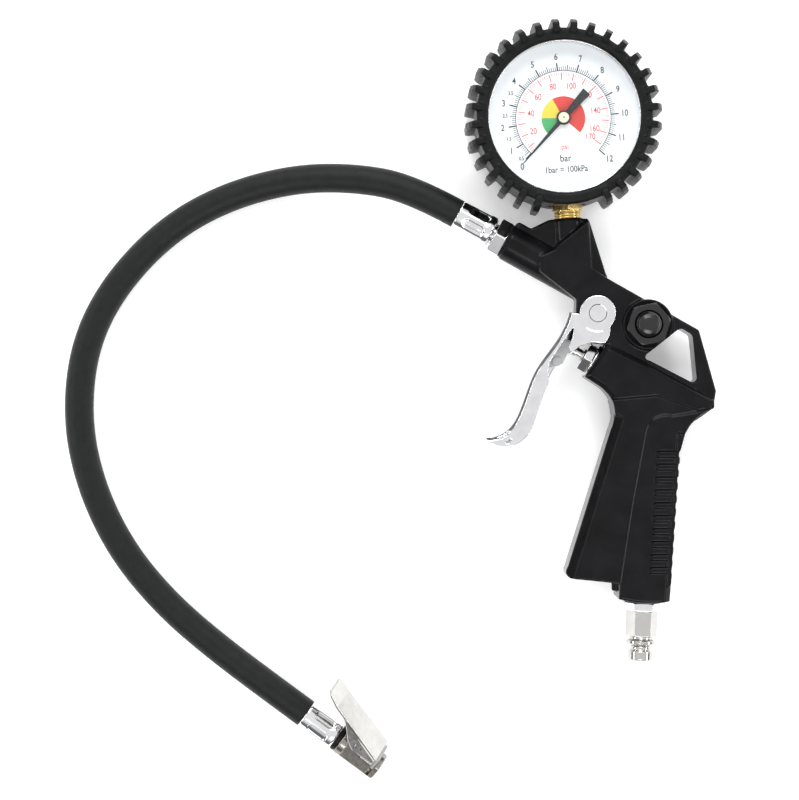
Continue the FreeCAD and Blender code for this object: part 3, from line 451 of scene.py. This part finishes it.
def lettering(bm, text, size_mm, place_mm, stretch=0.8):
    """Adds a word or number as thin flat letters, centred on place_mm."""
    curve = bpy.data.curves.new("letters", "FONT")
    curve.body = text
    curve.size = size_mm * MM * 1.38
    curve.align_x = "CENTER"
    curve.align_y = "CENTER"
    curve.extrude = INK / 2
    curve.offset = 0.04 * MM
    holder = link("letters", curve)
    mesh = evaluated_mesh(holder)
    place = Matrix.Translation(Vector((place_mm[0], place_mm[1], 0)) * MM)
    mesh.transform(place @ Matrix.Diagonal((stretch, 1, 1, 1)))
    bm.from_mesh(mesh)
    bpy.data.objects.remove(holder)
    bpy.data.curves.remove(curve)
    bpy.data.meshes.remove(mesh)


def bar_scale(bm):
    band(bm, BAR_BASE - 0.12, BAR_BASE + 0.12, ZERO, FULL)
    whole, half, tenth = (22.0, 0.52), (21.2, 0.30), (20.5, 0.23)      # a tick's outer radius and width
    for step in range(5, 121):
        reach, width = whole if step % 10 == 0 else half if step % 5 == 0 else tenth
        tick(bm, bar_angle(step / 10), BAR_BASE, reach, width)
    tick(bm, ZERO, BAR_BASE, *whole)
    lettering(bm, "0", 2.6, polar(ZERO_LABEL, ZERO - 2.4) / MM)
    for pressure in range(1, 13):
        lettering(bm, str(pressure), 2.6, polar(BAR_LABELS, bar_angle(pressure)) / MM)
    for pressure in (0.5, 1.5, 2.5, 3.5):
        lettering(bm, "%.1f" % pressure, 1.5, polar(HALF_LABELS, bar_angle(pressure)) / MM)


def psi_scale(bm):
    for pressure in range(4, 171, 2):
        tens = pressure % 10 == 0
        tick(bm, psi_angle(pressure), 15.2 if tens else 16.8, PSI_TOP, 0.36 if tens else 0.17)
    for pressure in (*range(20, 161, 20), 170):
        lettering(bm, str(pressure), 2.5, polar(PSI_LABELS, psi_angle(pressure)) / MM)
    lettering(bm, "psi", 2.2, (0.0, -11.4), 0.9)


def dial_words(bm):
    lettering(bm, "bar", 2.8, (0.0, -16.0), 0.9)
    lettering(bm, "1bar = 100kPa", 2.5, (0.0, -20.4), 0.85)


def zone(start, end):
    return lambda bm: band(bm, 0, ZONES, start, end)


def printed_dial():
    black = FINISHES["pointer_black"]
    inks = {
        "dial_bar_scale": (bar_scale, black),
        "dial_words": (dial_words, black),
        "dial_psi_scale": (psi_scale, enamel("ink_red", (0.72, 0.045, 0.04))),
        "dial_zone_green": (zone(ZERO, YELLOW_START), enamel("ink_green", (0.06, 0.42, 0.14))),
        "dial_zone_yellow": (zone(YELLOW_START, RED_START), enamel("ink_yellow", (0.92, 0.62, 0.06))),
        "dial_zone_red": (zone(RED_START, RED_END), enamel("ink_red_zone", (0.66, 0.045, 0.035))),
    }
    for name, (build, material) in inks.items():
        piece = piece_from(name, build, material, dial_matrix())
        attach(piece, "gun")


def lathe(bm, profile, around=64):
    """Closed solid of revolution about Z from (radius, z) corners in mm, from axis to axis."""
    rings = []
    for radius, place in profile:
        points = ring_of(radius, place, around)
        rings.append([bm.verts.new(point) for point in (points if radius > 0 else points[:1])])
    for near, far in zip(rings, rings[1:]):
        for i in range(around):
            after = i + 1
            sides = ((near, i), (near, after), (far, after), (far, i))
            corners = [ring[spot % len(ring)] for ring, spot in sides]
            bm.faces.new(tuple(dict.fromkeys(corners)))
    for face in bm.faces:
        face.smooth = True


def pointer_hub():
    """Domed cap inside the pointer's dark hub ring, with the pin's end showing in its middle."""
    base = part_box("pointer_cap")[0].z
    place = Matrix.Translation(Vector((DIAL_CENTRE.x, DIAL_CENTRE.y, base)))
    dome = [(0, 0), (2.1, 0), (2.1, 0.25), (1.95, 0.5), (1.6, 0.68), (1.0, 0.78), (0, 0.82)]
    cap = piece_from("pointer_cap_dome", lambda bm: lathe(bm, dome), FINISHES["cap_cream"], place)
    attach(cap, "pointer")
    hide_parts("pointer_cap")
    pin_end = [(0, 0.7), (0.32, 0.7), (0.32, 0.86), (0.2, 0.93), (0, 0.95)]
    pin = piece_from("pointer_pin_end", lambda bm: lathe(bm, pin_end), FINISHES["pointer_black"], place)
    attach(pin, "pointer")


# ---- hose ------------------------------------------------------------------


def tool_matrix(place, heading, roll):
    """Own Z along a level heading in degrees; own X turned up from level by roll degrees."""
    along = level(heading)
    aside = level(heading + 90.0)
    across = aside * math.cos(math.radians(roll)) + Vector((0.0, 0.0, math.sin(math.radians(roll))))
    turned = Matrix((across, along.cross(across), along)).transposed().to_4x4()
    return Matrix.Translation(Vector(place) + DATUM_SHIFT * MM) @ turned


def smooth_step(value):
    value = min(1.0, max(0.0, value))
    return value * value * (3 - 2 * value)


def pressed_ferrule(node, matrix, length):
    """Plated sleeve whose six long dents are pressed in with soft edges. Lengths in mm."""
    start = 0.1
    knots = (
        (start, 5.8), (0.7, 6.02), (length - 4.6, 6.1), (length - 2.4, 6.5), (length - 1.2, 6.42),
        (length - 0.4, 5.95), (length, 5.2),
    )
    bore, mouth, socket_end = 3.25, 5.5, 14.0
    dents, first_dent, dent_radius, dent_end = 6, 20.0, 6.1, 5.2
    dent_half_width, dent_edge, dent_depth = 2.1, 0.6, 0.45
    around, rows = 150, 66

    def sleeve(place):
        for (low, small), (high, large) in zip(knots, knots[1:]):
            if place <= high:
                return small + (large - small) * smooth_step((place - low) / (high - low))
        return knots[-1][1]

    def dent(turn, place):
        pitch = 360.0 / dents
        aside = ((turn - first_dent + pitch / 2) % pitch - pitch / 2) * math.radians(1.0) * dent_radius
        beyond = max(0.0, dent_end - place, place - (length - dent_end))
        return dent_depth * smooth_step((dent_half_width - math.hypot(aside, beyond)) / dent_edge)

    def build(bm):
        rings = []
        for row in range(rows + 1):
            place = start + (length - start) * row / rows
            rings.append([(sleeve(place) - dent(360.0 * i / around, place), place) for i in range(around)])
        inside = ((bore, length), (bore, socket_end + 0.1), (mouth, socket_end), (mouth, start))
        rings += [[corner] * around for corner in inside]
        grid = []
        for points in rings:
            grid.append([])
            for i, (radius, place) in enumerate(points):
                turn = math.tau * i / around
                spot = Vector((radius * math.cos(turn), radius * math.sin(turn), place)) * MM
                grid[-1].append(bm.verts.new(spot))
        for near, far in zip(grid, grid[1:] + grid[:1]):
            for i in range(around):
                after = (i + 1) % around
                bm.faces.new((near[i], near[after], far[after], far[i]))
        for face in bm.faces:
            face.smooth = True

    piece = piece_from(node + "_skin", build, FINISHES["chrome_plate"], matrix)
    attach(piece, "gun")
    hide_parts(node)


def hose():
    curve = bpy.data.curves.new("rubber_hose", "CURVE")
    curve.dimensions = "3D"
    curve.resolution_u = 16
    curve.bevel_depth = HOSE_DIAMETER / 2
    curve.bevel_resolution = 10
    curve.use_fill_caps = True
    spline = curve.splines.new("NURBS")
    spline.points.add(len(HOSE_ROUTE) - 1)
    for point, place in zip(spline.points, HOSE_ROUTE):
        point.co = (*(Vector(place) + DATUM_SHIFT * MM), 1.0)
    spline.order_u = 3
    spline.use_endpoint_u = True
    curve.materials.append(FINISHES["hose_rubber"])
    piece = link("rubber_hose", curve)
    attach(piece, "gun")
    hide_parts("hose")


# ---- camera, floor and light -----------------------------------------------

def camera():
    """Straight down on the tool, from about a metre above it."""
    data = bpy.data.cameras.new("camera")
    data.lens = 112.5
    data.clip_end = 5.0
    holder = link("camera", data)
    holder.location = at(-80.0, -23.6, 1014.0)
    bpy.context.scene.camera = holder


def floor():
    white = (0.93, 0.93, 0.93)
    recipe = Recipe("floor_white", white, Roughness=0.7, Specular_IOR_Level=0.2, Emission_Strength=0.27)
    recipe.shader.inputs["Emission Color"].default_value = (1.0, 1.0, 1.0, 1.0)
    recipe.colour(recipe.ramp(recipe.noise(300.0, 2.0), (0.3, 0.92), (0.7, 0.94)))

    half, depth = 3.0, 0.01
    corners = [(-half, -half, 0), (half, -half, 0), (half, half, 0), (-half, half, 0)]
    piece = piece_from("floor", lambda bm: flat(bm, corners, -depth), recipe.material)


# Each softbox: its place and its width and height in metres, and its power in watts.
SOFTBOXES = {
    "left_strip": ((-1.05, 0.05, 0.46), (1.3, 0.10), 4.5),
    "right_strip": ((0.90, -0.05, 0.46), (1.3, 0.10), 4.5),
    "back_strip": ((-0.05, 1.00, 0.50), (1.3, 0.10), 5.0),
    "near_key": ((-0.08, -0.78, 1.0), (0.7, 0.4), 5.0),
    "far_key": ((-0.08, 0.78, 1.0), (0.7, 0.4), 5.0),
}
LIGHTS_AIM = Vector((-0.08, -0.02, 0.0))


def softbox(name, place, size, power):
    data = bpy.data.lights.new(name, "AREA")
    data.shape = "RECTANGLE"
    data.size, data.size_y = size
    data.energy = power
    lamp = link(name, data)
    lamp.location = place
    lamp.rotation_euler = (LIGHTS_AIM - Vector(place)).to_track_quat("-Z", "Y").to_euler()


def sky(world):
    """Bright overhead and darker towards the horizon, so that bright metal gets its contrast."""
    tree = world.node_tree
    place = tree.nodes.new("ShaderNodeTexCoord")
    split = tree.nodes.new("ShaderNodeSeparateXYZ")
    shade = tree.nodes.new("ShaderNodeValToRGB")
    stops = ((0.0, 0.22), (0.35, 0.14), (0.62, 0.85), (0.8, 1.0))      # a direction's height, its grey
    elements = shade.color_ramp.elements
    while len(elements) < len(stops):
        elements.new(0.5)
    for element, (position, grey) in zip(elements, stops):
        element.position = position
        element.color = (grey, grey, grey * 1.01, 1.0)
    tree.links.new(place.outputs["Generated"], split.inputs["Vector"])
    tree.links.new(split.outputs["Z"], shade.inputs["Fac"])
    tree.links.new(shade.outputs["Color"], tree.nodes["Background"].inputs["Color"])


def studio():
    world = bpy.data.worlds.new("studio")
    world.use_nodes = True
    sky(world)
    bpy.context.scene.world = world
    for name, (place, size, power) in SOFTBOXES.items():
        softbox(name, place, size, power)
    bpy.context.scene.view_settings.view_transform = "Standard"


camera()
floor()
studio()
for skin_node, skin_body, skin_voxel, skin_passes in SKINS:
    eased(skin_node, skin_body, skin_voxel, skin_passes)
springs()
pressed_ferrule("ferrule_gun", tool_matrix(HOSE_ROUTE[0], BARREL_HEADING, 90.0), 16.0)
pressed_ferrule("ferrule_chuck", tool_matrix(HOSE_ROUTE[-1], CHUCK_HEADING, CHUCK_ROLL), 15.9)
hose()
printed_dial()
pointer_hub()
